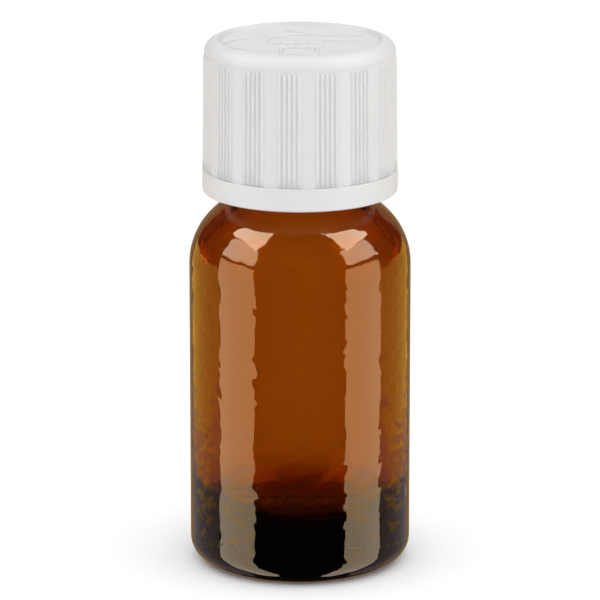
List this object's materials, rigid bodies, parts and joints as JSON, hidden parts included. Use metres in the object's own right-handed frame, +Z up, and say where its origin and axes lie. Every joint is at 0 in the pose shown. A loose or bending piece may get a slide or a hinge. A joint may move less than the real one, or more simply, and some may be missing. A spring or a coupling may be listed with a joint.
{
  "type": "medicine bottle with push-and-turn cap",
  "caption": "Small amber glass medicine bottle with a white ribbed child-resistant screw cap that is pushed down and turned to open.",
  "frame": {"origin": "centre of the bottle's resting face, on the bottle's axis", "axes": "+Z up along the bottle's axis; the pictogram on the cap reads upright when seen from -Y, with +X to the right"},
  "size_m": [0.0248, 0.0248, 0.0599],
  "materials": {
    "amber_glass": "clear brown moulded glass",
    "natural_polyethylene": "milky moulded polyethylene",
    "foamed_polyethylene": "soft foam with a film skin",
    "inner_polypropylene": "moulded white polypropylene",
    "white_polyethylene": "satin moulded white polyethylene"
  },
  "bodies": {
    "bottle": {"glass_bottle": "amber_glass", "dropper_insert": "natural_polyethylene"},
    "liner": {"seal_liner": "foamed_polyethylene"},
    "inner_cap": {"inner_cap": "inner_polypropylene"},
    "outer_cap": {"outer_cap": "white_polyethylene"}
  },
  "joints": [
    {"name": "thread_rise", "type": "slide", "parent": "bottle", "child": "liner", "axis": [0, 0, 1], "range_m": [0, 0.0151]},
    {"name": "cap_unscrew", "type": "hinge", "parent": "liner", "child": "inner_cap", "pos_m": [0, 0, 0.05], "axis": [0, 0, 1], "range_deg": [0, 1800]},
    {"name": "push_down", "type": "slide", "parent": "inner_cap", "child": "outer_cap", "axis": [0, 0, 1], "range_m": [-0.001, 0], "stiffness_N_per_m": 400}
  ],
  "couplings": [
    {"joint": "thread_rise", "follows": "cap_unscrew", "m_per_rad": 0.00047746}
  ]
}
